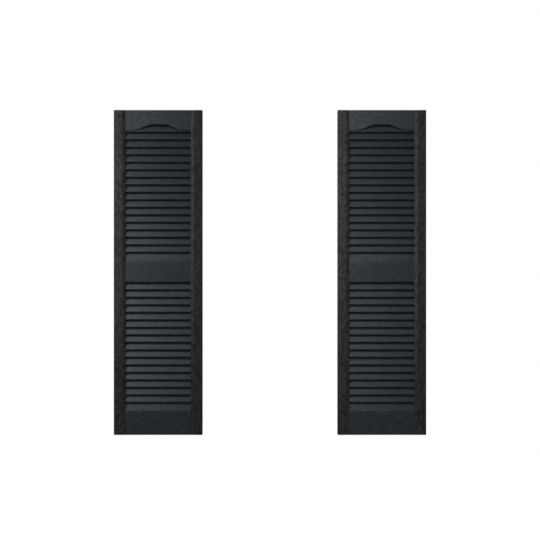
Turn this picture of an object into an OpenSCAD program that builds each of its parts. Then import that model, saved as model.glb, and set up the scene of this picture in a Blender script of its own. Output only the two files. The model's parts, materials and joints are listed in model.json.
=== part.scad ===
// Pair of louvred exterior shutters. Each panel is one hollow moulding whose stiles, rails and closed
// louvres share a single wall, fixed through its stiles by screws with painted heads.
// Millimetres, +Z up. The front faces -Y and the wall of the house is the plane Y = 0.
// The origin is on that plane, midway between the two panels and halfway up them.

/* [Pair] */
// Clear width between the two panels, where the window and its casing go
window_gap = 581; // [300:1:2400]

/* [Panel] */
// Width of one panel
panel_w = 381; // [300:1:600]
// Height of one panel
panel_h = 1397; // [900:1:2032]
// Depth of one panel, from the wall to the face of its stiles
panel_d = 30; // [26:0.5:45]
// Thickness of the moulding's wall
wall = 2.5; // [1.5:0.1:3]
// Radius of the outer front edges
edge_r = 3; // [1:0.25:5]

/* [Stiles] */
// Width of each stile, with its bevel
stile_w = 50; // [42:1:70]
// Width of the bevel down the inner side of each stile
bevel_w = 13; // [6:0.5:15]
// Depth of the bevel, which is how far the rails lie behind the stiles
bevel_d = 4; // [1:0.5:6]

/* [Rails] */
// Height of the top rail, from the top edge down to the first nose
top_rail_h = 93; // [75:1:130]
// Height of the middle rail
mid_rail_h = 92; // [50:1:130]
// Height of the bottom rail
bottom_rail_h = 103; // [60:1:150]

/* [Arch] */
// Length of the straight stretch beside the arch, at each end of the top rail's lower edge
arch_end = 32; // [10:0.5:60]
// Height of the arch above those straight stretches
arch_rise = 24.5; // [5:0.5:35]
// Share of the arch's width that is level, at its top
arch_level = 0.2; // [0.1:0.05:0.6]
// Height of the straight stretches above the first nose
arch_tail = 6; // [4:0.5:18]

/* [Louvres] */
// Distance wanted between noses; the nearest one that fills both banks is used
louvre_pitch = 32.3; // [28:0.1:45]
// Depth that each louvre's face slopes back from its nose
louvre_depth = 13; // [8:0.5:14]
// Height of the flat front of a nose
nose_h = 3; // [1.5:0.25:5]
// Distance from the face of the rails back to the noses
nose_set = 2; // [0.5:0.25:3]
// Distance that the last louvre of a bank runs down past its pitch, to the face of the rail
run_out = 5; // [2:0.5:8]
// Fall of each nose's underside towards the back, for mould draft
under_fall = 1; // [0.5:0.25:2]

/* [Ribs] */
// Thickness of the ribs inside the moulding
rib_t = 2; // [1.2:0.1:3]
// Clearance between the ribs and the wall of the house
rib_set = 2; // [0.5:0.25:3]
// Number of upright ribs behind the louvres
rib_count = 2; // [1:1:4]
// Distance wanted between the cross ribs in a stile
gusset_pitch = 112; // [60:1:200]

/* [Screws] */
// Distance from the outer side of a stile to the screws in it
screw_inset = 21; // [16:0.5:24]
// Distance from the top and bottom edges to the nearest screws
screw_end = 26; // [16:0.5:50]
// Diameter of the plain shank
shank_d = 4; // [3:0.1:5]
// Diameter over the thread
thread_d = 4.8; // [3.5:0.1:6]
// Clearance all round the thread as it passes through the stile
hole_clear = 0.5; // [0.2:0.1:1]
// Length of a screw under its head
screw_len = 76; // [60:1:110]
// Length of the pointed tip
tip_len = 6; // [3:0.5:10]
// Diameter of the head
head_d = 12; // [10:0.5:14]
// Height of the head
head_h = 3; // [2.5:0.25:5]
// Height of the straight rim under the head's dome
head_rim = 0.8; // [0.4:0.1:1.2]
// Width across the cross recess in the head
recess_w = 5.5; // [4:0.25:7]
// Width of each arm of the recess
recess_arm = 1.3; // [0.8:0.1:2]
// Depth of the recess
recess_d = 1.8; // [1:0.1:2.2]

/* [Hidden] */
sides = ["left", "right"];
stiles = ["outer", "inner"];
rows = ["top", "middle", "bottom"];
vinyl = [0.20, 0.215, 0.23];
paint = [0.16, 0.17, 0.18];
$fn = 64;
// How far a cutting shape stands past what it cuts
over = 1;

// Depths in front of the wall of the house
rail_d = panel_d - bevel_d;
nose_d = rail_d - nose_set;
root_d = nose_d - louvre_depth;

// Heights of the horizontal edges, from the middle of the panel
top_z = panel_h / 2;
bank_h = (panel_h - top_rail_h - mid_rail_h - bottom_rail_h) / 2;
first_z = top_z - top_rail_h;
mid_top_z = first_z - bank_h;
mid_z = mid_top_z - mid_rail_h / 2;
mid_bottom_z = mid_top_z - mid_rail_h;

// The louvres of one bank, and the slopes of their faces as depth over height
louvre_count = round((bank_h - run_out) / louvre_pitch);
pitch = (bank_h - run_out) / louvre_count;
slope = louvre_depth / (pitch - nose_h - under_fall);
last_slope = (rail_d - root_d) / (pitch + run_out - under_fall);
face_t = wall / cos(atan(slope));
last_face_t = wall / cos(atan(last_slope));

field_w = panel_w - 2 * stile_w;
arch_w = field_w - 2 * arch_end;
// Height above the first nose that clears the arch and the wall along it
arch_clear = arch_tail + arch_rise + wall + over;
panel_x = (window_gap + panel_w) / 2;
hole_d = thread_d + 2 * hole_clear;
// How far a rib runs into the wall that it stands on, back from the front and up from below
rib_grip = [0.7 * wall, 0.5 * wall];

function panel_name(side) = str(side, "_panel");
function screw_name(side, stile, row) = str(side, "_", stile, "_", row, "_screw");
function side_sign(side) = side == "left" ? -1 : 1;
function screw_x(side, stile) =
    side_sign(side) * (panel_x + (stile == "outer" ? 1 : -1) * (panel_w / 2 - screw_inset));
function screw_z(row) =
    row == "top" ? top_z - screw_end : row == "bottom" ? screw_end - top_z : mid_z;
function reversed(list) = [for (i = [len(list) - 1:-1:0]) list[i]];

// Depth of the first louvre's front at a height above its nose
function first_face_d(h) = nose_d - (h - nose_h) * slope;

// Height above the first nose of the top rail's lower edge. The arch is level at its top and falls
// as a cosine on each side.
function arch_h(x) =
    let (fall = (2 * abs(x) / arch_w - arch_level) / (1 - arch_level))
    arch_tail + arch_rise * (1 + cos(180 * max(0, min(1, fall)))) / 2;

// The section of the field is drawn as [-depth, height].
// Front of a bank, from the root under the edge at height z down to the rail below
function bank_front(z) = concat(
    [for (k = [0:louvre_count - 2],
          p = [[root_d, -under_fall], [nose_d, nose_h - pitch], [nose_d, -pitch]])
        [-p.x, z - k * pitch + p.y]],
    [[-root_d, z - (louvre_count - 1) * pitch - under_fall], [-rail_d, z - bank_h]]
);

// Back of the same wall
function bank_back(z) =
    let (
        root = root_d - (under_fall + wall) * slope - face_t,
        nose = nose_d + (nose_h - wall) * slope - face_t,
        last_z = z - (louvre_count - 1) * pitch,
        last_root = root_d - (under_fall + wall) * last_slope - last_face_t,
        last_fall = (rail_d - wall + last_face_t - root_d) / last_slope
    )
    concat(
        [for (k = [0:louvre_count - 2], p = [[root, 0], [nose, -pitch]])
            [-p.x, z - k * pitch + wall + p.y]],
        [[-last_root, last_z + wall], [-(rail_d - wall), last_z - under_fall - last_fall]]
    );

field_front = concat(
    [[-rail_d, top_z],
     [-rail_d, first_z + arch_tail],
     [-first_face_d(arch_tail), first_z + arch_tail],
     [-nose_d, first_z + nose_h],
     [-nose_d, first_z]],
    bank_front(first_z),
    [[-rail_d, mid_bottom_z]],
    bank_front(mid_bottom_z),
    [[-rail_d, -top_z]]
);

field_back = concat(
    [[wall - rail_d, top_z],
     [wall - rail_d, first_z + arch_clear],
     [face_t - first_face_d(arch_clear), first_z + arch_clear],
     [face_t - first_face_d(wall), first_z + wall]],
    bank_back(first_z),
    [[wall - rail_d, mid_bottom_z + wall]],
    bank_back(mid_bottom_z),
    [[wall - rail_d, -top_z]]
);

// Extrusions of a drawing in [-depth, height], [x, height] and [x, -depth]
module along_x(x0, x1) {
    translate([x0, 0, 0]) rotate([90, 0, 90]) linear_extrude(x1 - x0) children();
}

module along_y(d0, d1) {
    rotate([90, 0, 0]) translate([0, 0, d0]) linear_extrude(d1 - d0) children();
}

module along_z(z0, z1) {
    translate([0, 0, z0]) linear_extrude(z1 - z0) children();
}

// What a rounded corner at the origin leaves outside it, for material at +x and -y
module corner_waste() {
    difference() {
        translate([-over, -edge_r]) square(edge_r + over);
        translate([edge_r, -edge_r]) circle(edge_r);
    }
}

// Everything that is a given distance or more above the lower edge of the top rail
module above_arch(up, high) {
    half = field_w / 2 + over;
    steps = 16;
    shoulder = [for (i = [0:steps]) arch_w / 2 * (1 - (1 - arch_level) * i / steps)];
    polygon(concat(
        [[half, high], [-half, high], [-half, first_z + arch_h(half) + up]],
        [for (x = shoulder) [-x, first_z + arch_h(x) + up]],
        [for (x = reversed(shoulder)) [x, first_z + arch_h(x) + up]],
        [[half, first_z + arch_h(half) + up]]
    ));
}

// Open space under the arch, in front of the first louvre
module arch_opening() {
    high = first_z + arch_clear + over;
    difference() {
        along_x(-field_w / 2 - over, field_w / 2 + over) polygon([
            [-rail_d - over, first_z + nose_h],
            [-nose_d, first_z + nose_h],
            [-first_face_d(arch_clear + over), high],
            [-rail_d - over, high]
        ]);
        along_y(0, panel_d + over) above_arch(0, high + over);
    }
}

// Hollow behind the top rail, above the wall that follows the arch
module arch_hollow() {
    along_y(-over, rail_d - wall) above_arch(wall, first_z + arch_clear + over);
}

// Rails and louvres between the stiles
module field() {
    difference() {
        along_x(-(field_w + wall) / 2, (field_w + wall) / 2)
            polygon(concat(field_front, reversed(field_back)));
        arch_opening();
        arch_hollow();
    }
}

// Outline of a stile, with x running inwards from its outer side
module stile_outline() {
    difference() {
        polygon([
            [0, 0], [0, -panel_d], [stile_w - bevel_w, -panel_d], [stile_w, -rail_d], [stile_w, 0]
        ]);
        mirror([0, 1]) translate([0, panel_d]) corner_waste();
    }
}

// Space inside a stile, starting a given distance in from its outside
module stile_hollow(margin) {
    tilt = atan(bevel_d / bevel_w);
    inner_d = rail_d + margin * tan(tilt) - margin / cos(tilt);
    polygon([
        [margin, over],
        [margin, margin - panel_d],
        [stile_w - bevel_w - margin * tan(tilt / 2), margin - panel_d],
        [stile_w - margin, -inner_d],
        [stile_w - margin, over]
    ]);
}

// One stile, closed at both ends, with its cross ribs
module stile() {
    difference() {
        along_z(-top_z, top_z) stile_outline();
        along_z(wall - top_z, top_z - wall) stile_hollow(wall);
        translate([stile_w - wall - over, -rib_set, wall - top_z])
            cube([wall + 2 * over, rib_set + over, panel_h - 2 * wall]);
    }
    for (span = [[screw_end - top_z, mid_z], [mid_z, top_z - screw_end]]) {
        count = round((span[1] - span[0]) / gusset_pitch);
        step = (span[1] - span[0]) / count;
        for (i = [0:count - 1]) gusset(span[0] + (i + 0.5) * step);
    }
}

// Cross rib in a stile, centred on height z
module gusset(z) {
    difference() {
        along_z(z - rib_t / 2, z + rib_t / 2) stile_hollow(wall / 2);
        translate([0, -rib_set, z - rib_t]) cube([stile_w, rib_set + 2 * over, 2 * rib_t]);
    }
}

// Upright rib behind the rails and louvres, centred on x
module field_rib(x) {
    arch_z = arch_h(x) + rib_grip.y;
    path = concat(
        [[-rib_set, top_z - rib_grip.y],
         [rib_grip.x - rail_d, top_z - rib_grip.y],
         [rib_grip.x - rail_d, first_z + arch_z],
         [rib_grip.x - first_face_d(arch_z), first_z + arch_z],
         [-nose_d, first_z + nose_h] + rib_grip,
         [-nose_d, first_z] + rib_grip],
        [for (p = bank_front(first_z)) p + rib_grip],
        [[-rail_d, mid_bottom_z] + rib_grip],
        [for (p = bank_front(mid_bottom_z)) p + rib_grip],
        [[rib_grip.x - rail_d, rib_grip.y - top_z],
         [-rib_set, rib_grip.y - top_z]]
    );
    along_x(x - rib_t / 2, x + rib_t / 2) polygon(path);
}

// Rounded front edge along both ends of the panel, where its face is at depth d
module end_rounding(d, x0, x1) {
    for (s = [0, 1])
        mirror([0, 0, s]) along_x(x0, x1) translate([-d, top_z]) corner_waste();
}

// One panel, centred on x = 0
module panel() {
    color(vinyl) difference() {
        union() {
            for (s = [0, 1]) mirror([s, 0, 0]) translate([-panel_w / 2, 0, 0]) stile();
            field();
            for (z = [-top_z, top_z - wall])
                translate([-(field_w + wall) / 2, wall / 2 - rail_d, z])
                    cube([field_w + wall, rail_d - wall / 2, wall]);
            for (i = [1:rib_count]) field_rib(field_w * (i / (rib_count + 1) - 0.5));
        }
        for (s = [0, 1])
            mirror([s, 0, 0]) end_rounding(panel_d, field_w / 2, panel_w / 2 + over);
        end_rounding(rail_d, -field_w / 2, field_w / 2);
        for (e = [-1, 1], r = rows)
            translate([e * (panel_w / 2 - screw_inset), 0, screw_z(r)]) rotate([90, 0, 0])
                cylinder(d = hole_d, h = panel_d + over);
    }
}

// One screw, with the underside of its head on the face of the stile and its tip towards +Y
module screw() {
    neck = panel_d;
    dome_h = head_h - head_rim;
    dome_r = (pow(head_d / 2, 2) + pow(dome_h, 2)) / (2 * dome_h);
    color(paint) rotate([-90, 0, 0]) translate([0, 0, -panel_d]) difference() {
        union() {
            intersection() {
                translate([0, 0, dome_r - head_h]) sphere(dome_r);
                translate([0, 0, -head_h]) cylinder(d = head_d, h = head_h);
            }
            translate([0, 0, -wall / 2]) cylinder(d = shank_d, h = neck + wall);
            translate([0, 0, neck]) cylinder(d = thread_d, h = screw_len - tip_len - neck);
            translate([0, 0, screw_len - tip_len]) cylinder(d1 = thread_d, d2 = 0, h = tip_len);
        }
        for (turn = [0, 90])
            rotate([0, 0, turn]) translate([-recess_w / 2, -recess_arm / 2, -head_h - over])
                cube([recess_w, recess_arm, recess_d + over]);
    }
}

for (s = sides)
    translate([side_sign(s) * panel_x, 0, 0]) panel();
for (s = sides, e = stiles, r = rows)
    translate([screw_x(s, e), 0, screw_z(r)]) screw();
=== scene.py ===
"""Pair of louvred exterior shutters: the two moulded panels, their screws and a plain studio."""
import json
from itertools import product
from math import atan, ceil, cos, hypot, pi, radians, sin, tan

import bmesh
import bpy
from bpy.props import FloatProperty, FloatVectorProperty, IntProperty, PointerProperty
from bpy.types import Operator, Panel, PropertyGroup
from mathutils import Matrix, Vector

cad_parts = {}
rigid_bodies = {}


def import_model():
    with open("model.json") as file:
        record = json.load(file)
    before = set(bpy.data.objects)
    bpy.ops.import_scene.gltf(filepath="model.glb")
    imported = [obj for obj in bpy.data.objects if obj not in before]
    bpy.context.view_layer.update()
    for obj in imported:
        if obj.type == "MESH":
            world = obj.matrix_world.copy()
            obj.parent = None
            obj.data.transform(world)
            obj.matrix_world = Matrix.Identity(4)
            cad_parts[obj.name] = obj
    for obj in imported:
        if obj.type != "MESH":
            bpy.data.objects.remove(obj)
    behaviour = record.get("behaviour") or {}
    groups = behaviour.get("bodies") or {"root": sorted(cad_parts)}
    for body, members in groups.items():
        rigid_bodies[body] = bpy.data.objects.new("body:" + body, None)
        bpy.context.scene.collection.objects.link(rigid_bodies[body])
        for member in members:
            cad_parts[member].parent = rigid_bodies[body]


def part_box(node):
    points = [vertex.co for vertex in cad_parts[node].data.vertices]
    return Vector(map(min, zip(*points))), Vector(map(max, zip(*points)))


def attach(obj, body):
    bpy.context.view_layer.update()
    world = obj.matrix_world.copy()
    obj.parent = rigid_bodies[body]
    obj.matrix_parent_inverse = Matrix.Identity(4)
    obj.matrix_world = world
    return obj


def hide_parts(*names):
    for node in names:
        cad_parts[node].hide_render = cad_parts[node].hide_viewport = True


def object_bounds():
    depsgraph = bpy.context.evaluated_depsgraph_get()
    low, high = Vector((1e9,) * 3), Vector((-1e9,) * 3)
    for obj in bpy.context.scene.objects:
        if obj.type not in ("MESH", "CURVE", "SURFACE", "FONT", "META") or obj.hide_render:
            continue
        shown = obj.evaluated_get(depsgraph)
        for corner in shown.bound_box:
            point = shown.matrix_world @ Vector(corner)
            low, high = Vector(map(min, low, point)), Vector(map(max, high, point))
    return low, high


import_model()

bl_info = {
    "name": "Louvred Shutters",
    "version": (1, 0, 0),
    "blender": (4, 5, 0),
    "location": "3D View > Sidebar > Shutters",
    "description": "Makes a pair of moulded louvred shutters, their screws and a studio",
    "category": "Add Mesh",
}

MM = 0.001
OVER = 1 * MM                # how far a cutting shape stands past what it cuts
SHANK_END = -1 * MM          # where a screw's plain shank ends, just short of the wall behind
THREAD_START = 1 * MM        # where its thread is cut off, just inside that wall
NEAR = 0.01 * MM             # how close to a plane still counts as on it
MERGE = 0.001 * MM           # points closer together than this become one

CORNER_STEPS = 3             # faces round a corner of an outline
EDGE_STEPS = 4               # faces round an edge
ARCH_STEPS = 16              # straight pieces in each half of the arch
HOLE_STEPS = 32
SCREW_STEPS = 24
DOME_STEPS = 8               # rings of faces in a screw's domed head
FLOOR_STEPS = 96
SMOOTH_LIMIT = radians(40)   # edges that turn further than this stay crisp
NOISE_LOW = 0.35             # most of a noise pattern lies from here
NOISE_HIGH = 0.65            # up to here

SIDES = ("left", "right")
STILES = ("outer", "inner")
ROWS = ("top", "middle", "bottom")
STILE, RAIL, LOUVRE_PAINTED_SHADE, INSIDE = range(4)    # a panel's materials, in order
PAINT, PLATING = range(2)                 # a screw's materials, in order

PANEL_LOW, PANEL_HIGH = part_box("left_panel")
SCREW_LOW, SCREW_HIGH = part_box("left_outer_top_screw")
CAD_LOW, CAD_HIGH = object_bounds()


def length(name, description, default, low=0.0):
    """A size in metres."""
    return FloatProperty(
        name=name, description=description, default=default, min=low, unit="LENGTH", precision=5
    )


def colour(name, description, default):
    """A colour that a user can pick."""
    return FloatVectorProperty(
        name=name, description=description, default=default, size=3, min=0, max=1, subtype="COLOR"
    )


def share(name, description, default):
    """A number from 0 to 1."""
    return FloatProperty(
        name=name, description=description, default=default, min=0, max=1, subtype="FACTOR"
    )


def power(name, description, default):
    """Power of a light."""
    return FloatProperty(name=name, description=description, default=default, min=0, unit="POWER")


def offset(name, description, default):
    """A place measured from another one."""
    return FloatVectorProperty(
        name=name, description=description, default=default, size=3, subtype="TRANSLATION",
        unit="LENGTH",
    )


class PanelSizes(PropertyGroup):
    """Sizes of one moulded panel. Depths are measured forwards from the wall of the house."""

    width: length("Width", "Width of one panel", PANEL_HIGH.x - PANEL_LOW.x)
    height: length("Height", "Height of one panel", PANEL_HIGH.z - PANEL_LOW.z)
    depth: length("Depth", "Depth to the face of the stiles", -PANEL_LOW.y)
    wall: length("Wall", "Thickness of the moulding's wall", 2.5 * MM)
    edge_r: length("Outer edge", "Radius of the outer front edges", 3 * MM)
    ease: length("Eased edges", "Rounding of the noses and of the rails' edges", 0.9 * MM)
    arch_ease: length("Eased arch", "Rounding of the arched edge", 2 * MM)
    upper_crease: length("Upper crease", "Rounding where a louvre meets the middle rail", 12 * MM)
    lower_crease: length("Lower crease", "Rounding where a louvre meets the bottom rail", 3 * MM)
    fillet: length("Fillets", "Radius in the roots under the noses", 0.8 * MM)
    stile_w: length("Stile width", "Width of each stile, with its bevel", 50 * MM)
    bevel_w: length("Bevel width", "Width of the bevel down the inner side of each stile", 13 * MM)
    bevel_d: length("Bevel depth", "How far the rails lie behind the stiles", 4 * MM)
    top_rail_h: length("Top rail", "From the top edge down to the first nose", 93 * MM)
    mid_rail_h: length("Middle rail", "Height of the middle rail", 92 * MM)
    bottom_rail_h: length("Bottom rail", "Height of the bottom rail", 103 * MM)
    arch_end: length("Arch ends", "Straight stretch beside the arch, at each end", 32 * MM)
    arch_rise: length("Arch rise", "Height of the arch above its straight ends", 24.5 * MM)
    arch_level: share("Arch level", "Share of the arch's width that is level, at its top", 0.2)
    arch_tail: length("Arch tails", "Height of the straight ends above the first nose", 6 * MM)
    louvre_pitch: length("Louvre pitch", "Distance wanted between noses", 32.3 * MM, 28 * MM)
    louvre_depth: length("Louvre depth", "How far a face slopes back from its nose", 13 * MM)
    nose_h: length("Nose height", "Height of the flat front of a nose", 3 * MM)
    nose_set: length("Nose set", "From the face of the rails back to the noses", 2 * MM)
    run_out: length("Run out", "Extra height of the last louvre of a bank", 5 * MM)
    under_fall: length("Underside fall", "Fall of a nose's underside towards the back", 1 * MM)
    rib_t: length("Rib thickness", "Thickness of the ribs inside the moulding", 2 * MM)
    rib_set: length("Rib clearance", "From the wall of the house to the ribs", 2 * MM)
    rib_count: IntProperty(
        name="Upright ribs", description="Ribs behind the louvres", default=2, min=1, max=4
    )
    gusset_pitch: length("Gusset pitch", "Distance wanted between ribs in a stile", 112 * MM)
    hole_d: length("Hole", "Diameter of the screw holes", 5.8 * MM)


class ScrewSizes(PropertyGroup):
    """Sizes of one screw, from its painted head back into the wall of the house."""

    head_d: length("Head diameter", "Diameter of the head", SCREW_HIGH.x - SCREW_LOW.x)
    head_h: length("Head height", "Height of the head", PANEL_LOW.y - SCREW_LOW.y)
    head_rim: length("Head rim", "Straight rim under the dome", 0.8 * MM)
    shank_d: length("Shank", "Diameter of the plain shank", 4 * MM)
    thread_d: length("Thread", "Diameter over the thread", 4.8 * MM)
    core_d: length("Core", "Diameter under the thread", 3.4 * MM)
    thread_pitch: length("Thread pitch", "Rise of the thread in one turn", 2 * MM, 1 * MM)
    reach: length("Reach", "How far the screw runs into the wall", SCREW_HIGH.y)
    tip_len: length("Tip", "Length of the pointed tip", 6 * MM)
    recess_w: length("Recess width", "Width across the cross recess", 5.5 * MM)
    recess_arm: length("Recess arm", "Width of an arm of the recess", 1.3 * MM)
    recess_d: length("Recess depth", "Depth of the recess", 1.8 * MM)


class Finishes(PropertyGroup):
    """Colours and surfaces."""

    rail: colour("Rails", "Vinyl of the rails", (0.036, 0.047, 0.053))
    # Painted shade: the louvres' tint is about an eighth darker than the rails', though both are
    # one moulding, so that their sloping faces look less lit.
    louvre: colour("Louvres", "Vinyl of the louvres", (0.030, 0.041, 0.048))
    stile: colour("Stiles", "Vinyl of the stiles", (0.043, 0.045, 0.047))
    field_contrast: share("Field contrast", "How much the rails' and louvres' tone varies", 0.3)
    stile_contrast: share("Stile contrast", "How much the stiles' tone varies", 0.5)
    rail_gloss: share("Rail gloss", "Strength of the rails' reflections", 0.5)
    louvre_gloss: share("Louvre gloss", "Strength of the louvres' reflections", 0.46)
    stile_gloss: share("Stile gloss", "Strength of the stiles' reflections", 0.3)
    vinyl_roughness: share("Vinyl roughness", "Roughness of the vinyl", 0.35)
    grain_depth: length("Grain depth", "Depth of the embossed wood grain", 0.14 * MM)
    paint: colour("Screw paint", "Paint on the screw heads", (0.032, 0.034, 0.037))
    zinc: colour("Zinc", "Plating on the screws", (0.56, 0.57, 0.58))
    floor: colour("Floor", "Floor of the studio", (0.86, 0.86, 0.86))


class Studio(PropertyGroup):
    """Camera and lights."""

    view_width: length("View width", "Width that the camera takes in at the panels", 2.320)
    camera_distance: length("Camera distance", "From the panels to the camera", 6.0)
    camera_raise: length("Camera height", "From the panels' middle up to the camera", 10.7 * MM)
    floor_drop: length("Floor drop", "From the lower edge of the panels to the floor", 0.35)
    floor_radius: length("Floor radius", "Radius of the floor", 2.4)
    key_size: length("Key size", "Side of each square key light", 0.6)
    key_power: power("Key power", "Power of the left panel's key light", 7.4)
    key_power_right: power("Right key power", "Power of the right panel's key light", 8.9)
    key_place: offset("Key place", "Key light from the middle of its panel", (-2.3, -3, 3.9))
    key_aim: offset("Key aim", "Middle of its beam from the middle of its panel", (-1.2, 0, 0.7))
    key_spread: FloatProperty(
        name="Key spread", description="Angle of its beam", default=radians(36),
        min=radians(5), max=pi, subtype="ANGLE",
    )
    sheen_size: length("Sheen size", "Side of each square light that only adds gloss", 1.67)
    sheen_power: power("Sheen power", "Power of each light that only adds gloss", 9)
    sheen_place: offset(
        "Sheen place", "Gloss light from the mirrored line of sight to its panel",
        (-0.732, -0.85, 0.5),
    )
    fill_size: length("Fill size", "Side of each square fill light, which adds no gloss", 1)
    fill_power: power("Fill power", "Power of each fill light", 7.5)
    fill_place: offset("Fill place", "Fill light from the middle of its panel", (-0.4, -3, 0.4))
    back_size: length("Back size", "Side of each square back light, which adds no gloss", 1.2)
    back_power: power("Back power", "Power of each back light", 110)
    back_place: offset("Back place", "Back light from the right panel's middle", (1, 2.6, 0.6))
    glint_power: power("Glint power", "Power of the screws' gloss lights, set at the back", 30)
    surround: share("Surroundings", "Strength of the light from all round", 0.14)


# ---------------------------------------------------------------- shapes


def place(axis, along, across, up):
    """Point of a carried outline, which is in (depth, height), (x, height) or (x, depth)."""
    if axis == "X":
        return Vector((along, -across, up))
    if axis == "Y":
        return Vector((across, -along, up))
    return Vector((across, -up, along))


def prism(axis, low, high, outline):
    """Closed solid: an outline carried along an axis, each corner rounded by its third number."""
    bm = bmesh.new()
    rounded = {}
    for across, up, *radius in outline:
        vert = bm.verts.new(place(axis, low, across, up))
        if radius:
            rounded.setdefault(radius[0], []).append(vert)
    bm.faces.new(bm.verts)
    for radius, verts in rounded.items():
        bmesh.ops.bevel(
            bm, geom=verts, offset=radius, segments=CORNER_STEPS, profile=0.5,
            affect="VERTICES", material=-1,
        )
    carried = bmesh.ops.extrude_face_region(bm, geom=bm.faces[:])["geom"]
    far_end = [v for v in carried if isinstance(v, bmesh.types.BMVert)]
    run = place(axis, high, 0, 0) - place(axis, low, 0, 0)
    bmesh.ops.translate(bm, vec=run, verts=far_end)
    bmesh.ops.recalc_face_normals(bm, faces=bm.faces[:])
    return bm


def block(low, high):
    """Closed box between two corners."""
    bm = bmesh.new()
    bmesh.ops.create_cube(bm, size=1)
    bmesh.ops.scale(bm, vec=Vector(high) - Vector(low), verts=bm.verts[:])
    bmesh.ops.translate(bm, vec=(Vector(low) + Vector(high)) / 2, verts=bm.verts[:])
    return bm


def round_edges(bm, radius, chosen):
    """Rounds the edges whose two ends satisfy a test."""
    edges = [edge for edge in bm.edges if chosen(edge.verts[0].co, edge.verts[1].co)]
    bmesh.ops.bevel(
        bm, geom=edges, offset=radius, segments=EDGE_STEPS, profile=0.5, affect="EDGES",
        material=-1,
    )


def everything(bm):
    """All that a shape is made of."""
    return bm.verts[:] + bm.edges[:] + bm.faces[:]


def temporary(bm, collection):
    """Object that holds a shape while it is cut or joined."""
    mesh = bpy.data.meshes.new("temporary")
    bm.to_mesh(mesh)
    bm.free()
    shape = bpy.data.objects.new("temporary", mesh)
    collection.objects.link(shape)
    return shape


def combine(base, operation, tools):
    """The base with all its tools joined to it or cut from it."""
    root = bpy.context.scene.collection
    held = bpy.data.collections.new("tools")
    root.children.link(held)
    body = temporary(base, root)
    shapes = [temporary(tool, held) for tool in tools]
    boolean = body.modifiers.new("combine", "BOOLEAN")
    boolean.solver = "EXACT"
    boolean.operation = operation
    boolean.operand_type = "COLLECTION"
    boolean.collection = held
    evaluated = body.evaluated_get(bpy.context.evaluated_depsgraph_get())
    result = bmesh.new()
    result.from_mesh(evaluated.to_mesh())
    evaluated.to_mesh_clear()
    for shape in [body, *shapes]:
        mesh = shape.data
        bpy.data.objects.remove(shape)
        bpy.data.meshes.remove(mesh)
    bpy.data.collections.remove(held)
    bmesh.ops.remove_doubles(result, verts=result.verts[:], dist=MERGE)
    if not all(edge.is_manifold for edge in result.edges):
        raise RuntimeError("a joined shape isn't closed")
    return result


def finished_piece(name, bm, at, materials, choose_material, nodes):
    """Object with its place in its mesh, riding on the part and standing for CAD nodes."""
    bmesh.ops.translate(bm, vec=at, verts=bm.verts[:])
    bmesh.ops.recalc_face_normals(bm, faces=bm.faces[:])
    for face in bm.faces:
        face.smooth = True
        face.material_index = choose_material(face)
    for edge in bm.edges:
        one_finish = len({face.material_index for face in edge.link_faces}) == 1
        edge.smooth = one_finish and edge.calc_face_angle(pi) < SMOOTH_LIMIT
    mesh = bpy.data.meshes.new(name)
    bm.to_mesh(mesh)
    bm.free()
    for material in materials:
        mesh.materials.append(material)
    piece = bpy.data.objects.new(name, mesh)
    bpy.context.scene.collection.objects.link(piece)
    normals = piece.modifiers.new("flat_faces", "WEIGHTED_NORMAL")
    normals.keep_sharp = True
    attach(piece, "root")
    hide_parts(*nodes)
    return piece


# ---------------------------------------------------------------- panel


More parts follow.
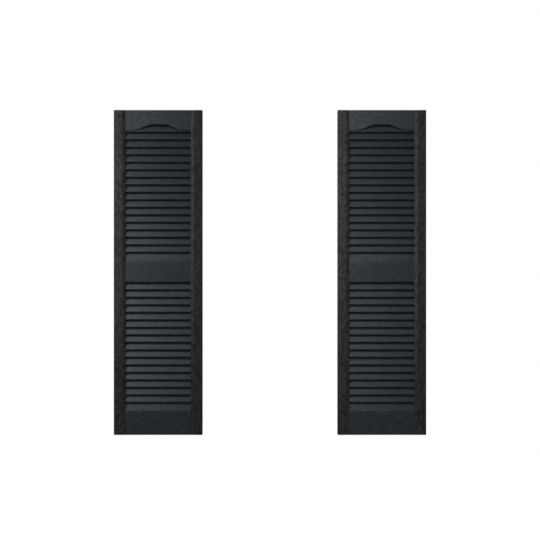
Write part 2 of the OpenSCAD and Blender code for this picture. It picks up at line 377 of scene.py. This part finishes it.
class PanelShape:
    """One panel centred on x = 0, with its back on the plane y = 0."""

    def __init__(self, sizes, holes):
        self.s = s = sizes
        self.holes = holes
        self.rail_d = s.depth - s.bevel_d
        self.nose_d = self.rail_d - s.nose_set
        self.root_d = self.nose_d - s.louvre_depth
        self.top = s.height / 2
        self.first = self.top - s.top_rail_h
        self.bank = (s.height - s.top_rail_h - s.mid_rail_h - s.bottom_rail_h) / 2
        self.mid_bottom = self.first - self.bank - s.mid_rail_h
        self.count = round((self.bank - s.run_out) / s.louvre_pitch)
        self.pitch = (self.bank - s.run_out) / self.count
        self.slope = s.louvre_depth / (self.pitch - s.nose_h - s.under_fall)
        self.last_slope = (self.rail_d - self.root_d) / (self.pitch + s.run_out - s.under_fall)
        self.face_t = s.wall / cos(atan(self.slope))
        self.last_face_t = s.wall / cos(atan(self.last_slope))
        self.field = s.width - 2 * s.stile_w
        self.half = (self.field + s.wall) / 2
        self.arch_w = self.field - 2 * s.arch_end

    def face_depth(self, height):
        """Depth of the first louvre's front at a height above its nose."""
        return self.nose_d - (height - self.s.nose_h) * self.slope

    def arch_height(self, x):
        """Top rail's lower edge above the first nose: level, then falling as a cosine."""
        level = self.s.arch_level
        fall = (2 * abs(x) / self.arch_w - level) / (1 - level)
        return self.s.arch_tail + self.s.arch_rise * (1 + cos(pi * max(0, min(1, fall)))) / 2

    def bank_front(self, edge, crease):
        """Fronts of one bank of louvres, from the root under an edge down to the rail below."""
        s = self.s
        points = []
        for k in range(self.count - 1):
            points.append((self.root_d, edge - k * self.pitch - s.under_fall, s.fillet))
            nose = edge - (k + 1) * self.pitch
            points.append((self.nose_d, nose + s.nose_h, s.ease))
            points.append((self.nose_d, nose, s.ease))
        last = edge - (self.count - 1) * self.pitch
        points.append((self.root_d, last - s.under_fall, s.fillet))
        points.append((self.rail_d, edge - self.bank, crease))
        return points

    def bank_back(self, edge):
        """Backs of the same louvres."""
        s = self.s
        root = self.root_d - (s.under_fall + s.wall) * self.slope - self.face_t
        nose = self.nose_d + (s.nose_h - s.wall) * self.slope - self.face_t
        points = []
        for k in range(self.count - 1):
            height = edge - k * self.pitch + s.wall
            points.append((root, height))
            points.append((nose, height - self.pitch))
        last = edge - (self.count - 1) * self.pitch
        last_root = self.root_d - (s.under_fall + s.wall) * self.last_slope - self.last_face_t
        fall = (self.rail_d - s.wall + self.last_face_t - self.root_d) / self.last_slope
        points.append((last_root, last + s.wall))
        points.append((self.rail_d - s.wall, last - s.under_fall - fall))
        return points

    def louvres_and_rails(self):
        """Both banks of louvres with the middle and bottom rails, as one bent wall."""
        s = self.s
        behind_rail = s.arch_tail + s.arch_rise + 2 * s.wall
        front = [
            (self.face_depth(behind_rail), self.first + behind_rail),
            (self.nose_d, self.first + s.nose_h, s.ease),
            (self.nose_d, self.first, s.ease),
            *self.bank_front(self.first, s.upper_crease),
            (self.rail_d, self.mid_bottom, s.ease),
            *self.bank_front(self.mid_bottom, s.lower_crease),
            (self.rail_d, -self.top, s.edge_r),
        ]
        back = [
            (self.face_depth(behind_rail) - self.face_t, self.first + behind_rail),
            (self.face_depth(s.wall) - self.face_t, self.first + s.wall),
            *self.bank_back(self.first),
            (self.rail_d - s.wall, self.mid_bottom + s.wall),
            *self.bank_back(self.mid_bottom),
            (self.rail_d - s.wall, -self.top),
        ]
        return prism("X", -self.half, self.half, front + back[::-1])

    def above_arch(self, lift, high):
        """Outline of everything above the arch, raised by a lift, in (x, height)."""
        low = self.first + self.arch_height(self.half) + lift
        shoulder = []
        for i in range(ARCH_STEPS + 1):
            x = self.arch_w / 2 * (1 - (1 - self.s.arch_level) * i / ARCH_STEPS)
            shoulder.append((x, self.first + self.arch_height(x) + lift))
        arch = [(-x, height) for x, height in shoulder] + shoulder[::-1]
        return [(self.half, high), (-self.half, high), (-self.half, low), *arch, (self.half, low)]

    def top_rail(self):
        """Top rail, with a wall that runs back from its arched edge to the first louvre."""
        s = self.s
        rail = prism("Y", 0, self.rail_d, self.above_arch(0, self.top))
        front = -self.rail_d + NEAR
        crest = self.top - OVER

        def top_edge(a, b):
            return max(a.y, b.y) < front and min(a.z, b.z) > crest

        def arched_edge(a, b):
            return max(a.y, b.y) < front and max(a.z, b.z) < crest - s.edge_r

        round_edges(rail, s.edge_r, top_edge)
        round_edges(rail, s.arch_ease, arched_edge)
        hollow = prism("Y", -OVER, self.rail_d - s.wall, self.above_arch(s.wall, self.top + OVER))
        rail = combine(rail, "DIFFERENCE", [hollow])
        in_louvre = Vector((0, -self.face_depth(0) + self.face_t / 2, self.first))
        backwards = Vector((0, 1, -self.slope))
        cut = bmesh.ops.bisect_plane(
            rail, geom=everything(rail), plane_co=in_louvre, plane_no=backwards, clear_outer=True
        )["geom_cut"]
        rims = [edge for edge in cut if isinstance(edge, bmesh.types.BMEdge)]
        bmesh.ops.contextual_create(rail, geom=rims)
        return rail

    def stile(self):
        """Right-hand stile: a channel closed at both ends and open at the back."""
        s = self.s
        side = s.width / 2
        inner = self.field / 2
        outline = [
            (side, 0), (side, s.depth), (inner + s.bevel_w, s.depth, 2 * s.ease),
            (inner, self.rail_d), (inner, 0),
        ]
        stile = prism("Z", -self.top, self.top, outline)

        def outer_edge(a, b):
            on_corner = min(a.x, b.x) > side - NEAR and max(a.y, b.y) < NEAR - s.depth
            on_end = min(abs(a.z), abs(b.z)) > self.top - NEAR and a.z * b.z > 0
            on_back = min(a.y, b.y) > -NEAR
            on_inner = max(a.x, b.x) < inner + NEAR
            return on_corner or (on_end and not on_back and not on_inner)

        round_edges(stile, s.edge_r, outer_edge)
        inside = self.top - s.wall
        hollow = prism("Z", -inside, inside, self.stile_hollow(s.wall, -OVER))
        relief = block(
            (inner - OVER, -s.rib_set, -inside), (inner + s.wall + OVER, OVER, inside)
        )
        return combine(stile, "DIFFERENCE", [hollow, relief])

    def stile_hollow(self, margin, back):
        """Outline of the space inside a stile, a margin in from its outside, in (x, depth)."""
        s = self.s
        tilt = atan(s.bevel_d / s.bevel_w)
        side = s.width / 2 - margin
        inner = self.field / 2 + margin
        face = s.depth - margin
        shoulder = self.field / 2 + s.bevel_w + margin * tan(tilt / 2)
        slant = self.rail_d + margin * tan(tilt) - margin / cos(tilt)
        return [(side, back), (side, face), (shoulder, face), (inner, slant), (inner, back)]

    def gussets(self):
        """Cross ribs of the right-hand stile, evenly spread between its screws."""
        s = self.s
        heights = sorted({round(z, 6) for x, z in self.holes})
        ribs = []
        for low, high in zip(heights, heights[1:]):
            count = round((high - low) / s.gusset_pitch)
            step = (high - low) / count
            for i in range(count):
                z = low + (i + 0.5) * step
                outline = self.stile_hollow(s.wall / 2, s.rib_set)
                ribs.append(prism("Z", z - s.rib_t / 2, z + s.rib_t / 2, outline))
        return ribs

    def upright_rib(self, x):
        """Rib that stands on the back of the rails and louvres and runs a little into them."""
        s = self.s
        back = 0.7 * s.wall
        up = 0.5 * s.wall
        arch = self.first + self.arch_height(x) + up
        fronts = [
            (self.nose_d, self.first + s.nose_h),
            (self.nose_d, self.first),
            *[point[:2] for point in self.bank_front(self.first, 0)],
            (self.rail_d, self.mid_bottom),
            *[point[:2] for point in self.bank_front(self.mid_bottom, 0)],
        ]
        outline = [
            (s.rib_set, self.top - up),
            (self.rail_d - back, self.top - up),
            (self.rail_d - back, arch),
            (self.face_depth(self.arch_height(x) + up) - back, arch),
            *[(depth - back, height + up) for depth, height in fronts],
            (self.rail_d - back, up - self.top),
            (s.rib_set, up - self.top),
        ]
        return prism("X", x - s.rib_t / 2, x + s.rib_t / 2, outline)

    def end_walls(self):
        """Walls that close the top and bottom between the stiles."""
        s = self.s
        front = -self.rail_d + s.wall / 2
        walls = []
        for low in (-self.top, self.top - s.wall):
            walls.append(block((-self.half, front, low), (self.half, 0, low + s.wall)))
        return walls

    def drill(self, x, z):
        """Round tool that drills one screw hole."""
        bm = bmesh.new()
        radius = self.s.hole_d / 2
        centre = Matrix.Translation((x, -self.s.depth / 2, z))
        bmesh.ops.create_cone(
            bm, cap_ends=True, segments=HOLE_STEPS, radius1=radius, radius2=radius,
            depth=self.s.depth + 2 * OVER, matrix=centre @ Matrix.Rotation(pi / 2, 4, "X"),
        )
        return bm

    def build(self):
        """The whole moulding as one closed shell."""
        s = self.s
        stile = combine(self.stile(), "UNION", self.gussets())
        bmesh.ops.mirror(stile, geom=everything(stile), merge_dist=-1, axis="X")
        bmesh.ops.recalc_face_normals(stile, faces=stile.faces[:])
        ribs = []
        for i in range(s.rib_count):
            ribs.append(self.upright_rib(self.field * ((i + 1) / (s.rib_count + 1) - 0.5)))
        parts = [self.top_rail(), stile, *self.end_walls(), *ribs]
        panel = combine(self.louvres_and_rails(), "UNION", parts)
        return combine(panel, "DIFFERENCE", [self.drill(x, z) for x, z in self.holes])


# ---------------------------------------------------------------- screws


def spun(profile, rise=0.0):
    """Open profile in (radius, y), turned once round the Y axis and climbing by a rise."""
    bm = bmesh.new()
    verts = [bm.verts.new((radius, y, 0)) for radius, y in profile]
    edges = [bm.edges.new(pair) for pair in zip(verts, verts[1:])]
    bmesh.ops.spin(
        bm, geom=verts + edges, cent=(0, 0, 0), axis=(0, 1, 0), angle=2 * pi,
        dvec=(0, rise / SCREW_STEPS, 0), steps=SCREW_STEPS, use_merge=not rise,
    )
    bmesh.ops.remove_doubles(bm, verts=bm.verts[:], dist=MERGE)
    return bm


def head_and_shank(s, depth):
    """Domed head and plain shank, open at the end of the shank."""
    head = s.head_d / 2
    shank = s.shank_d / 2
    chamfer = 0.15 * MM
    flare = 0.4 * MM
    dome_h = s.head_h - s.head_rim
    dome_r = (head ** 2 + dome_h ** 2) / (2 * dome_h)
    top = -depth - s.head_h
    profile = []
    for i in range(DOME_STEPS + 1):
        turn = atan(head / (dome_r - dome_h)) * i / DOME_STEPS
        profile.append((dome_r * sin(turn), top + dome_r * (1 - cos(turn))))
    profile += [(head, -depth - chamfer), (head - chamfer, -depth)]
    profile += [(shank + flare, -depth), (shank, flare - depth), (shank, SHANK_END)]
    return spun(profile)


def thread(s):
    """Threaded end, wound as one skin: its ridge rises out of the core and ends at the tip."""
    crest = s.thread_d / 2
    core = s.core_d / 2
    turns = ceil(s.reach / s.thread_pitch) + 2
    ridge = ((0, core), (0.22, core), (0.47, crest), (0.53, crest), (0.78, core))    # in turns
    profile = []
    for k in range(-1, turns):
        start = k * s.thread_pitch
        profile += [(radius, start + along * s.thread_pitch) for along, radius in ridge]
    bm = spun(profile, s.thread_pitch)
    plain = 0.75      # turns of plain core before the ridge rises
    blunt = 0.06      # share of the core that is left at the tip
    for vert in bm.verts:
        radius = hypot(vert.co.x, vert.co.z)
        rising = min(1, max(0, vert.co.y / s.thread_pitch - plain))
        closing = min(1, max(0, (s.reach - vert.co.y) / s.tip_len))
        wanted = (core + (radius - core) * rising) * max(closing, blunt)
        vert.co.x *= wanted / radius
        vert.co.z *= wanted / radius
    for end, outwards in ((THREAD_START, -1), (s.reach, 1)):
        bmesh.ops.bisect_plane(
            bm, geom=everything(bm), plane_co=Vector((0, end, 0)),
            plane_no=Vector((0, outwards, 0)), clear_outer=True,
        )
    return bm


def screw_shape(s, depth):
    """One closed screw on the Y axis, with the underside of its head at a depth in front."""
    bm = head_and_shank(s, depth)
    threaded = thread(s)
    end = bpy.data.meshes.new("threaded_end")
    threaded.to_mesh(end)
    threaded.free()
    bm.from_mesh(end)
    bpy.data.meshes.remove(end)
    rims = [edge for edge in bm.edges if edge.is_boundary]
    tip = [edge for edge in rims if edge.verts[0].co.y > s.reach / 2]
    bmesh.ops.contextual_create(bm, geom=tip)
    bmesh.ops.bridge_loops(bm, edges=[edge for edge in rims if edge not in tip])
    bmesh.ops.recalc_face_normals(bm, faces=bm.faces[:])
    return combine(bm, "DIFFERENCE", recess(s, depth))


def recess(s, depth):
    """Two crossed blades, narrower at the bottom, that cut the cross recess."""
    front = -depth - s.head_h - OVER
    bottom = -depth - s.head_h + s.recess_d
    taper = 0.62
    blades = []
    for wide, high in ((s.recess_w, s.recess_arm), (s.recess_arm, s.recess_w)):
        blade = block((-wide / 2, front, -high / 2), (wide / 2, bottom, high / 2))
        foot = [vert for vert in blade.verts if vert.co.y > (front + bottom) / 2]
        bmesh.ops.scale(blade, vec=(taper, 1, taper), verts=foot)
        blades.append(blade)
    return blades


# ---------------------------------------------------------------- finishes


class Surface:
    """A procedural material on Object coordinates, built node by node."""

    def __init__(self, name):
        self.material = bpy.data.materials.new(name)
        self.material.use_nodes = True
        self.tree = self.material.node_tree
        self.shader = self.tree.nodes["Principled BSDF"]
        self.coordinates = self.tree.nodes.new("ShaderNodeTexCoord").outputs["Object"]

    def link(self, value, socket):
        """Links an output to a socket, or sets the socket to a plain value."""
        if isinstance(value, bpy.types.NodeSocket):
            self.tree.links.new(value, socket)
        else:
            socket.default_value = value

    def stretched(self, scale):
        """Object coordinates scaled along each axis."""
        node = self.tree.nodes.new("ShaderNodeMapping")
        self.link(self.coordinates, node.inputs["Vector"])
        node.inputs["Scale"].default_value = scale
        return node.outputs["Vector"]

    def noise(self, vector, scale, detail, roughness, distortion=0.0):
        """Smooth noise, from about 0 to 1."""
        node = self.tree.nodes.new("ShaderNodeTexNoise")
        self.link(vector, node.inputs["Vector"])
        node.inputs["Scale"].default_value = scale
        node.inputs["Detail"].default_value = detail
        node.inputs["Roughness"].default_value = roughness
        node.inputs["Distortion"].default_value = distortion
        return node.outputs["Fac"]

    def ranged(self, value, low, high, to_low=0.0, to_high=1.0):
        """A value carried smoothly from one range to another."""
        node = self.tree.nodes.new("ShaderNodeMapRange")
        node.interpolation_type = "SMOOTHSTEP"
        self.link(value, node.inputs["Value"])
        node.inputs["From Min"].default_value = low
        node.inputs["From Max"].default_value = high
        node.inputs["To Min"].default_value = to_low
        node.inputs["To Max"].default_value = to_high
        return node.outputs["Result"]

    def math(self, operation, first, second):
        """Sum, product or the like of two values."""
        node = self.tree.nodes.new("ShaderNodeMath")
        node.operation = operation
        self.link(first, node.inputs[0])
        self.link(second, node.inputs[1])
        return node.outputs["Value"]

    def blend(self, factor, first, second):
        """Mix of two colours."""
        node = self.tree.nodes.new("ShaderNodeMix")
        node.data_type = "RGBA"
        self.link(factor, node.inputs["Factor"])
        self.link((*first, 1), node.inputs["A"])
        self.link((*second, 1), node.inputs["B"])
        return node.outputs["Result"]

    def shaded(self, pattern, tint, darkest):
        """A tint that a pattern darkens, at most to a share of it."""
        darker = [darkest * value for value in tint]
        return self.blend(self.ranged(pattern, NOISE_LOW, NOISE_HIGH), darker, tint)

    def bump(self, height, distance, strength):
        """Relief on the shader's normal."""
        node = self.tree.nodes.new("ShaderNodeBump")
        node.inputs["Distance"].default_value = distance
        node.inputs["Strength"].default_value = strength
        self.link(height, node.inputs["Height"])
        self.link(node.outputs["Normal"], self.shader.inputs["Normal"])

    def set(self, **values):
        """Sets the shader's own sockets, named with _ for each space."""
        for name, value in values.items():
            self.link(value, self.shader.inputs[name.replace("_", " ")])
        return self.material


def along_grain(axis, scale):
    """Scale that draws a pattern out along X or Z."""
    return (scale, 1, 1) if axis == "X" else (1, 1, scale)


def grained_vinyl(name, finish, axis, tint, contrast, gloss):
    """Satin vinyl with a wood grain embossed along X or Z, and mottled by a contrast."""
    surface = Surface(name)
    fine = surface.stretched(along_grain(axis, 0.035))
    broad = surface.stretched(along_grain(axis, 0.12))
    patchy = surface.stretched(along_grain(axis, 0.6))
    fibres = surface.noise(fine, scale=900, detail=4, roughness=0.65)
    figure = surface.noise(broad, scale=150, detail=5, roughness=0.6, distortion=0.5)
    mottle = surface.noise(patchy, scale=90, detail=2, roughness=0.5)
    pores = surface.ranged(fibres, 0.36, 0.6)
    relief = surface.math("ADD", surface.math("MULTIPLY", pores, 0.6), figure)
    surface.bump(relief, finish.grain_depth, strength=0.6)

    heavy_mottle = surface.math("MULTIPLY", mottle, 3)
    clouds = surface.math("MULTIPLY", surface.math("ADD", figure, heavy_mottle), 1 / 4)
    clouds = surface.ranged(clouds, 0.36, 0.64)
    tone = surface.math("MULTIPLY", clouds, surface.ranged(pores, -0.6, 0.6))
    dark = [(1 - contrast) * value for value in tint]
    light = [(1 + contrast) * value for value in tint]
    rough = finish.vinyl_roughness
    vary = 0.06
    return surface.set(
        Base_Color=surface.blend(tone, dark, light),
        Roughness=surface.ranged(mottle, NOISE_LOW, NOISE_HIGH, rough + vary, rough - vary),
        Specular_IOR_Level=gloss,
    )


def plain_vinyl(name, finish):
    """The inside of the moulding: the same vinyl with a fine matt texture and no grain."""
    surface = Surface(name)
    mottle = surface.noise(surface.coordinates, scale=35, detail=4, roughness=0.6)
    matt = surface.noise(surface.coordinates, scale=2200, detail=2, roughness=0.5)
    surface.bump(matt, 0.02 * MM, strength=0.5)
    return surface.set(
        Base_Color=surface.shaded(mottle, finish.stile, 0.8),
        Roughness=surface.ranged(mottle, NOISE_LOW, NOISE_HIGH, 0.62, 0.52),
        Specular_IOR_Level=0.5,
    )


def screw_paint(finish):
    """Baked paint on the screw heads, with a slight ripple."""
    surface = Surface("screw_paint")
    ripple = surface.noise(surface.coordinates, scale=1500, detail=2, roughness=0.5)
    mottle = surface.noise(surface.coordinates, scale=300, detail=3, roughness=0.6)
    surface.bump(ripple, 0.03 * MM, strength=0.5)
    return surface.set(
        Base_Color=surface.shaded(mottle, finish.paint, 0.8),
        Roughness=surface.ranged(mottle, NOISE_LOW, NOISE_HIGH, 0.42, 0.32),
        Specular_IOR_Level=0.5,
    )


def zinc_plate(finish):
    """Zinc plating on the shank and thread, a little clouded."""
    surface = Surface("zinc_plate")
    along_screw = surface.stretched((1, 0.3, 1))
    cloud = surface.noise(along_screw, scale=700, detail=4, roughness=0.6)
    surface.bump(cloud, 0.02 * MM, strength=0.4)
    darker = [0.72 * value for value in finish.zinc]
    return surface.set(
        Base_Color=surface.blend(surface.ranged(cloud, 0.3, 0.7), darker, finish.zinc),
        Roughness=surface.ranged(cloud, 0.3, 0.7, 0.42, 0.26),
        Metallic=1.0,
    )


def floor_finish(finish):
    """Pale painted floor, with light of its own so that it doesn't fall to grey."""
    surface = Surface("studio_floor")
    speckle = surface.noise(surface.coordinates, scale=6, detail=3, roughness=0.5)
    paler = [min(1, 1.04 * value) for value in finish.floor]
    tone = surface.blend(surface.ranged(speckle, 0.3, 0.7), finish.floor, paler)
    return surface.set(
        Base_Color=tone, Emission_Color=tone, Emission_Strength=1.15, Roughness=0.9,
        Specular_IOR_Level=0.2,
    )


# ---------------------------------------------------------------- operators


def middle(node):
    """Middle of a CAD node's box."""
    low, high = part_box(node)
    return (low + high) / 2


def screw_name(side, stile, row):
    """Name of a screw's CAD node."""
    return f"{side}_{stile}_{row}_screw"


class SHUTTERS_OT_panels(Operator):
    """Makes the two moulded panels"""

    bl_idname = "shutters.panels"
    bl_label = "Make Panels"

    def execute(self, context):
        sizes = context.scene.shutter_panel
        finish = context.scene.shutter_finish
        centre = middle("left_panel")
        holes = []
        for stile, row in product(STILES, ROWS):
            screw = middle(screw_name("left", stile, row))
            holes.append((screw.x - centre.x, screw.z - centre.z))
        shape = PanelShape(sizes, holes).build()
        varied = finish.field_contrast
        stile = (finish.stile, finish.stile_contrast, finish.stile_gloss)
        rail = (finish.rail, varied, finish.rail_gloss)
        # The louvres' darker tint paints shade onto their sloping faces.
        louvre = (finish.louvre, varied, finish.louvre_gloss)
        materials = [
            grained_vinyl("stile_vinyl", finish, "Z", *stile),
            grained_vinyl("rail_vinyl", finish, "X", *rail),
            grained_vinyl("louvre_vinyl", finish, "X", *louvre),
            plain_vinyl("inside_vinyl", finish),
        ]
        inner_edge = sizes.width / 2 - sizes.stile_w
        for side in SIDES:
            at = Vector((middle(side + "_panel").x, 0, centre.z))

            def choose(face):
                spot = face.calc_center_median() - at
                looks_back = face.normal.y > 0.35
                at_the_back = spot.y > -2 * sizes.wall
                slopes = abs(face.normal.z) > 0.2
                if looks_back or at_the_back:
                    return INSIDE
                if abs(spot.x) > inner_edge - NEAR:
                    return STILE
                # Sloping louvre faces take the darker vinyl, which paints shade on them.
                return LOUVRE_PAINTED_SHADE if slopes else RAIL

            finished_piece(
                side + "_moulding", shape.copy(), at, materials, choose, [side + "_panel"]
            )
        shape.free()
        return {"FINISHED"}


class SHUTTERS_OT_screws(Operator):
    """Makes the twelve screws, with painted heads"""

    bl_idname = "shutters.screws"
    bl_label = "Make Screws"

    def execute(self, context):
        sizes = context.scene.shutter_screw
        finish = context.scene.shutter_finish
        depth = context.scene.shutter_panel.depth
        paint_ends = 0.1 * MM - depth
        shape = screw_shape(sizes, depth)
        materials = [screw_paint(finish), zinc_plate(finish)]

        def choose(face):
            return PAINT if face.calc_center_median().y < paint_ends else PLATING

        for side, stile, row in product(SIDES, STILES, ROWS):
            node = screw_name(side, stile, row)
            at = Vector((middle(node).x, 0, middle(node).z))
            name = node.replace("screw", "fixing")
            finished_piece(name, shape.copy(), at, materials, choose, [node])
        shape.free()
        return {"FINISHED"}


class SHUTTERS_OT_stage(Operator):
    """Makes the floor, the lights and the camera"""

    bl_idname = "shutters.stage"
    bl_label = "Make Stage"

    def execute(self, context):
        studio = context.scene.shutter_studio
        add_floor(studio, context.scene.shutter_finish)
        for side in SIDES:
            add_lights(side, studio)
        add_surroundings(context.scene, studio)
        add_camera(context.scene, studio)
        return {"FINISHED"}


def add_floor(studio, finish):
    """Round pale floor below the panels."""
    bm = bmesh.new()
    level = CAD_LOW.z - studio.floor_drop
    bmesh.ops.create_circle(
        bm, cap_ends=True, segments=FLOOR_STEPS, radius=studio.floor_radius,
        matrix=Matrix.Translation((0, 0, level)),
    )
    mesh = bpy.data.meshes.new("studio_floor")
    bm.to_mesh(mesh)
    bm.free()
    mesh.materials.append(floor_finish(finish))
    floor = bpy.data.objects.new("studio_floor", mesh)
    bpy.context.scene.collection.objects.link(floor)
    floor.visible_diffuse = False
    floor.visible_glossy = False


def add_lights(side, studio):
    """Lights of one panel and its screws, which light nothing else."""
    lit = bpy.data.collections.new(side + "_lit")
    screws = bpy.data.collections.new(side + "_screws")
    for piece in bpy.context.scene.objects:
        if piece.name.startswith(side) and piece.type == "MESH":
            lit.objects.link(piece)
            if piece.name.endswith("fixing"):
                screws.objects.link(piece)
    target = middle(side + "_panel")
    outwards = -1 if side == "left" else 1
    key_power = studio.key_power if side == "left" else studio.key_power_right
    across, behind, up = studio.back_place
    from_behind = (outwards * across, behind, up)
    # The line of sight, mirrored at the panel's middle, runs on outwards as far as the light.
    near = -studio.sheen_place[1] / studio.camera_distance
    in_mirror = Vector(studio.sheen_place) + Vector((target.x * near, 0, 0))
    kinds = {
        "key": (studio.key_size, key_power, studio.key_place, studio.key_aim),
        "sheen": (studio.sheen_size, studio.sheen_power, in_mirror, (0, 0, 0)),
        "fill": (studio.fill_size, studio.fill_power, studio.fill_place, (0, 0, 0)),
        "back": (studio.back_size, studio.back_power, from_behind, (0, 0, 0)),
        "glint": (studio.back_size, studio.glint_power, from_behind, (0, 0, 0)),
    }
    for kind, (size, watts, away, aim) in kinds.items():
        data = bpy.data.lights.new(f"{side}_{kind}", "AREA")
        data.size = size
        data.energy = watts
        light = bpy.data.objects.new(f"{side}_{kind}", data)
        bpy.context.scene.collection.objects.link(light)
        light.location = target + Vector(away)
        light.rotation_mode = "QUATERNION"
        towards = target + Vector(aim) - light.location
        light.rotation_quaternion = towards.to_track_quat("-Z", "Y")
        light.light_linking.receiver_collection = screws if kind == "glint" else lit
        light.visible_camera = False
        light.visible_diffuse = kind not in ("sheen", "glint")
        light.visible_glossy = kind not in ("fill", "back")
        if kind == "key":
            data.spread = studio.key_spread


def add_surroundings(scene, studio):
    """White surroundings that give a gentle light from all round."""
    world = bpy.data.worlds.new("surroundings")
    scene.world = world
    world.use_nodes = True
    tree = world.node_tree
    seen = tree.nodes["Background"]
    seen.inputs["Color"].default_value = (1, 1, 1, 1)
    seen.inputs["Strength"].default_value = 1
    gentle = tree.nodes.new("ShaderNodeBackground")
    gentle.inputs["Color"].default_value = (0.95, 0.98, 1, 1)
    gentle.inputs["Strength"].default_value = studio.surround
    path = tree.nodes.new("ShaderNodeLightPath")
    mix = tree.nodes.new("ShaderNodeMixShader")
    tree.links.new(path.outputs["Is Camera Ray"], mix.inputs[0])
    tree.links.new(gentle.outputs[0], mix.inputs[1])
    tree.links.new(seen.outputs[0], mix.inputs[2])
    tree.links.new(mix.outputs[0], tree.nodes["World Output"].inputs["Surface"])
    scene.view_settings.view_transform = "Standard"


def add_camera(scene, studio):
    """Level camera straight in front of the pair."""
    data = bpy.data.cameras.new("camera")
    data.sensor_width = 36
    data.lens = data.sensor_width * studio.camera_distance / studio.view_width
    camera = bpy.data.objects.new("camera", data)
    scene.collection.objects.link(camera)
    centre = (PANEL_LOW.z + PANEL_HIGH.z) / 2
    camera.location = (0, PANEL_LOW.y - studio.camera_distance, centre + studio.camera_raise)
    camera.rotation_euler = (pi / 2, 0, 0)
    scene.camera = camera


class SHUTTERS_PT_sidebar(Panel):
    """Lists the steps that make the shutters"""

    bl_idname = "SHUTTERS_PT_sidebar"
    bl_label = "Louvred Shutters"
    bl_space_type = "VIEW_3D"
    bl_region_type = "UI"
    bl_category = "Shutters"

    def draw(self, context):
        layout = self.layout
        for step in STEPS:
            layout.operator(step.bl_idname)
        for name, group in GROUPS.items():
            box = layout.box()
            box.label(text=group.__doc__.split(".")[0])
            for setting in group.__annotations__:
                box.prop(getattr(context.scene, name), setting)


STEPS = (SHUTTERS_OT_panels, SHUTTERS_OT_screws, SHUTTERS_OT_stage)
GROUPS = {
    "shutter_panel": PanelSizes,
    "shutter_screw": ScrewSizes,
    "shutter_finish": Finishes,
    "shutter_studio": Studio,
}


def register():
    for cls in (*GROUPS.values(), *STEPS, SHUTTERS_PT_sidebar):
        bpy.utils.register_class(cls)
    for name, group in GROUPS.items():
        setattr(bpy.types.Scene, name, PointerProperty(type=group))


def unregister():
    for name in GROUPS:
        delattr(bpy.types.Scene, name)
    for cls in reversed((*GROUPS.values(), *STEPS, SHUTTERS_PT_sidebar)):
        bpy.utils.unregister_class(cls)


def main():
    """Registers the add-on and makes everything."""
    register()
    bpy.ops.shutters.panels()
    bpy.ops.shutters.screws()
    bpy.ops.shutters.stage()


if __name__ == "__main__":
    main()
